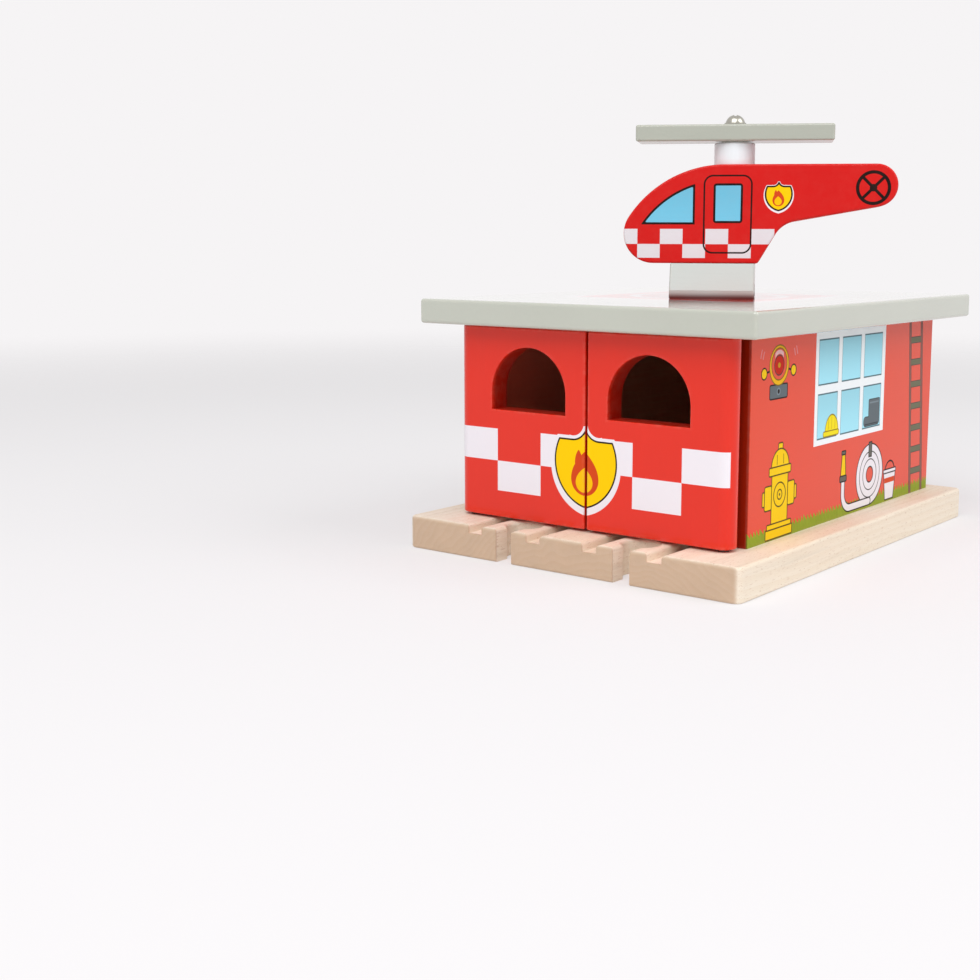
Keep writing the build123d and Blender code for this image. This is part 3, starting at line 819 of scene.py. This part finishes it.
class FIRESTATION_OT_paint_helicopter(bpy.types.Operator):
    """Paint the helicopter and print both its flanks"""
    bl_idname = "firestation.paint_helicopter"
    bl_label = "Paint Helicopter"

    def execute(self, context):
        colours, prints = context.scene.fire_colours, context.scene.fire_print
        check = prints.heli_check * 1000
        dark = toned(colours.line_ink, 0.8)

        def decorate(finish, parts, ground):
            t, n, h = heli_parts(parts)
            ink = Ink(finish, ground, prints.ink_edge * 1000)
            cell = finish.maths("PINGPONG", t - heli_rows_start - check / 2, check) - check / 2
            lower = most(cell, abs(h - heli_lower_row[0]) - heli_lower_row[1])
            upper = most(-cell, abs(h - heli_upper_row[0]) - heli_upper_row[1])
            ink.lay(most(least(lower, upper), t - heli_rows_end), toned(colours.white_ink, 0.88))
            door = round_plate(t - 5.25, h - 17.9, 17.2, 28.0, 3.2)
            ink.lay(abs(door) - 0.3, dark)
            brow = reach(t - 4.0, h + 6.14) - 36.3
            screen = finish.maths("SMOOTH_MAX", most(14.6 - h, t + 7.1), brow, 0.8)
            pane = round_plate(t - 5.35, h - 21.9, 9.9, 13.6, 0.7)
            glass = finish.mix(toned(colours.cockpit_ink, 1.06), toned(colours.cockpit_ink, 0.93),
                               finish.ramp(h, 14.0, 29.0))
            ink.outlined(least(screen, pane), glass, dark, 0.8)
            u, v = t - 57.2, h - 27.4
            cross = least(abs(u + v), abs(u - v)) * math.sqrt(0.5) - 0.55
            wheel = least(ring(u, v, 5.6, 1.2), most(cross, reach(u, v) - 5.6), disc(u, v, 1.35))
            ink.lay(wheel, dark)
            print_shield(ink, t - 23.6, h - 24.1, 0.365, colours)
            return ink.kept_to(finish.ramp(abs(n), fuselage_half - 0.5, fuselage_half - 0.3))

        def fuselage_edge(parts):
            return abs(abs(heli_parts(parts)[1]) - (fuselage_half - 0.4)) * 3.0

        def stand_edge(parts):
            t, _, h = heli_parts(parts)
            return most(least(abs(stand_half - abs(t)), abs(h + stand_height) + 0.3), 0.0)

        def stand_foot_shade(finish, parts):
            """Painted shade and red reflection from the landing pad, darker towards the underside."""
            above = heli_parts(parts)[2] + stand_height
            return 0.95 - finish.ramp(above, 0.4, 2.9) * 0.95

        def rotor_edge(parts):
            low = (mast_offset - rotor_half[0], -rotor_half[1], rotor_low[2] - fuselage_bottom)
            high = (mast_offset + rotor_half[0], rotor_half[1], rotor_high[2] - fuselage_bottom)
            return box_edge(heli_parts(parts), low, high)

        grey, gloss = colours.grey_paint, 0.42
        # A darker, cooler copy of the wall red on the fuselage: painted shade for its flanks' weaker
        # sheen
        shaded_deep_red = blended(toned(colours.red_paint, 0.94), srgb(200, 0, 34), 0.45)
        dress(painted("fuselage_red", shaded_deep_red, prints, "X", fuselage_edge, decorate, turned=True,
                      clear=0.2, ink_lacquer=prints.ink_lacquer), "fuselage")
        # A cooler, darker copy of the roof grey on the stand: painted shade, with the cool tint
        # offsetting red light bounced from the pad and fuselage
        shaded_cool_grey = toned(blended(grey, srgb(214, 226, 230), 0.4), 0.81)
        dress(painted("stand_grey", shaded_cool_grey, prints, "X", stand_edge, shade=stand_foot_shade, turned=True,
                      gloss=gloss), "stand")
        # The rotor has a darker copy of the roof grey: painted shade for the weaker light on its front
        dress(painted("rotor_grey", toned(grey, 0.85), prints, "X", rotor_edge, turned=True,
                      gloss=gloss), "rotor")
        dress(painted("mast_white", colours.white_paint, prints, "Z", gloss=0.34), "mast")
        return {"FINISHED"}


class FIRESTATION_OT_finish_fixings(bpy.types.Operator):
    """Give dowels, screws, pins and the washer their wood and steel"""
    bl_idname = "firestation.finish_fixings"
    bl_label = "Finish Fixings"

    def execute(self, context):
        colours, prints = context.scene.fire_colours, context.scene.fire_print
        dress(beech("upright_dowel_beech", colours, prints, "Z"), "roof_dowels")
        dress(beech("level_dowel_beech", colours, prints, "X"), "corner_dowels")
        dress(steel("screw_steel", colours), "base_screws", "stand_screws", "rotor_washer")
        # The door pins are darkened: painted shade for the narrow gaps they sit in by the doors
        dress(steel("pin_steel", colours, shadow_tone=0.22), "left_door_lower_pin", "left_door_upper_pin",
              "right_door_lower_pin", "right_door_upper_pin")
        dress(steel("dome_screw_steel", colours, mast_axis), "rotor_screw")
        return {"FINISHED"}


class FIRESTATION_OT_set_stage(bpy.types.Operator):
    """Set up the pale floor, the soft light and the camera"""
    bl_idname = "firestation.set_stage"
    bl_label = "Set Stage"

    def execute(self, context):
        scene = context.scene
        studio = scene.fire_studio
        scene.view_settings.view_transform = "Standard"
        self.make_floor(scene, studio)
        self.make_surroundings(scene, studio)
        self.make_lamp(scene, "top_lamp", studio.top_lamp, top_lamp_side, top_lamp_place)
        self.make_lamp(scene, "side_lamp", studio.side_lamp, side_lamp_side, side_lamp_place)
        self.make_camera(scene, studio)
        return {"FINISHED"}

    def make_floor(self, scene, studio):
        mesh = bpy.data.meshes.new("floor")
        shape = bmesh.new()
        bmesh.ops.create_circle(shape, cap_ends=True, segments=96, radius=studio.floor_radius)
        shape.to_mesh(mesh)
        shape.free()
        floor = bpy.data.objects.new("floor", mesh)
        scene.collection.objects.link(floor)
        finish = Finish("floor_pale")
        place, parts = finish.millimetres()
        edge = studio.floor_radius * 1000
        fade_start, fade_end = edge * 0.18, edge * 0.5
        fade = finish.ramp(reach(parts[0], parts[1]), fade_start, fade_end)
        cloud = finish.noise(place, 0.004)
        tone = finish.mix(toned(studio.floor_colour, 0.985), studio.floor_colour, cloud)
        paint = finish.node("ShaderNodeBsdfDiffuse", {}, {"Color": tone})
        glow = finish.node("ShaderNodeEmission", {}, {"Color": studio.backdrop, "Strength": 1.0})
        lifted = finish.mix_shaders(paint, glow, finish.seen() * studio.floor_lift)
        clear = finish.node("ShaderNodeBsdfTransparent")
        faded = finish.mix_shaders(lifted, clear, fade)
        finish.node("ShaderNodeOutputMaterial", {}, {"Surface": faded})
        mesh.materials.append(finish.material)

    def make_surroundings(self, scene, studio):
        """Even light on the object, while the camera and shiny pieces see a white backdrop."""
        world = bpy.data.worlds.new("soft_surroundings")
        world.use_nodes = True
        finish = Finish("", world.node_tree)
        light, backdrop = (
            finish.node("ShaderNodeBackground", {}, {"Color": colour, "Strength": strength})
            for colour, strength in (((1.0, 1.0, 1.0), studio.daylight), (studio.backdrop, 1.0)))
        finish.node("ShaderNodeOutputWorld", {}, {
            "Surface": finish.mix_shaders(light, backdrop, finish.seen())})
        scene.world = world

    def make_lamp(self, scene, name, power, side, place):
        lamp = bpy.data.lights.new(name, "AREA")
        lamp.shape = "SQUARE"
        lamp.size = side
        lamp.energy = power
        carrier = bpy.data.objects.new(name, lamp)
        carrier.location = place
        aim = Vector(lamps_aim) - Vector(place)
        carrier.rotation_euler = aim.to_track_quat("-Z", "Y").to_euler()
        scene.collection.objects.link(carrier)

    def make_camera(self, scene, studio):
        yaw, pitch, roll = studio.camera_yaw, studio.camera_pitch, studio.camera_roll
        ahead = math.cos(pitch)
        view = Vector((-math.sin(yaw) * ahead, math.cos(yaw) * ahead, -math.sin(pitch)))
        level = Vector((math.cos(yaw), math.sin(yaw), 0.0))
        above = level.cross(view)
        right = level * math.cos(roll) + above * math.sin(roll)
        up = above * math.cos(roll) - level * math.sin(roll)
        data = bpy.data.cameras.new("photo_camera")
        data.sensor_width = 36.0
        data.lens = studio.lens
        data.shift_x, data.shift_y = studio.camera_shift
        data.clip_start = 0.01
        camera = bpy.data.objects.new("photo_camera", data)
        turn = Matrix((right, up, -view)).transposed().to_4x4()
        camera.matrix_world = Matrix.Translation(studio.camera_place) @ turn
        scene.collection.objects.link(camera)
        scene.camera = camera


operators = (
    FIRESTATION_OT_paint_base,
    FIRESTATION_OT_paint_walls,
    FIRESTATION_OT_paint_doors,
    FIRESTATION_OT_paint_roof,
    FIRESTATION_OT_paint_helicopter,
    FIRESTATION_OT_finish_fixings,
    FIRESTATION_OT_set_stage,
)


class FIRESTATION_PT_looks(bpy.types.Panel):
    """Settings and steps of the fire station's looks"""
    bl_idname = "FIRESTATION_PT_looks"
    bl_label = "Fire Station"
    bl_space_type = "VIEW_3D"
    bl_region_type = "UI"
    bl_category = "Fire Station"

    def draw(self, context):
        for group in (context.scene.fire_colours, context.scene.fire_print, context.scene.fire_studio):
            column = self.layout.column(align=True)
            for name in group.__annotations__:
                column.prop(group, name)
        for operator in operators:
            self.layout.operator(operator.bl_idname)


groups = {
    "fire_colours": FireStationColours,
    "fire_print": FireStationPrint,
    "fire_studio": FireStationStudio,
}


def register():
    for group in (*groups.values(), *operators, FIRESTATION_PT_looks):
        bpy.utils.register_class(group)
    for name, group in groups.items():
        setattr(bpy.types.Scene, name, bpy.props.PointerProperty(type=group))


def unregister():
    for name in groups:
        delattr(bpy.types.Scene, name)
    for group in (FIRESTATION_PT_looks, *reversed(operators), *groups.values()):
        bpy.utils.unregister_class(group)


def main():
    register()
    for operator in operators:
        group, name = operator.bl_idname.split(".")
        getattr(getattr(bpy.ops, group), name)()


if __name__ == "__main__":
    main()
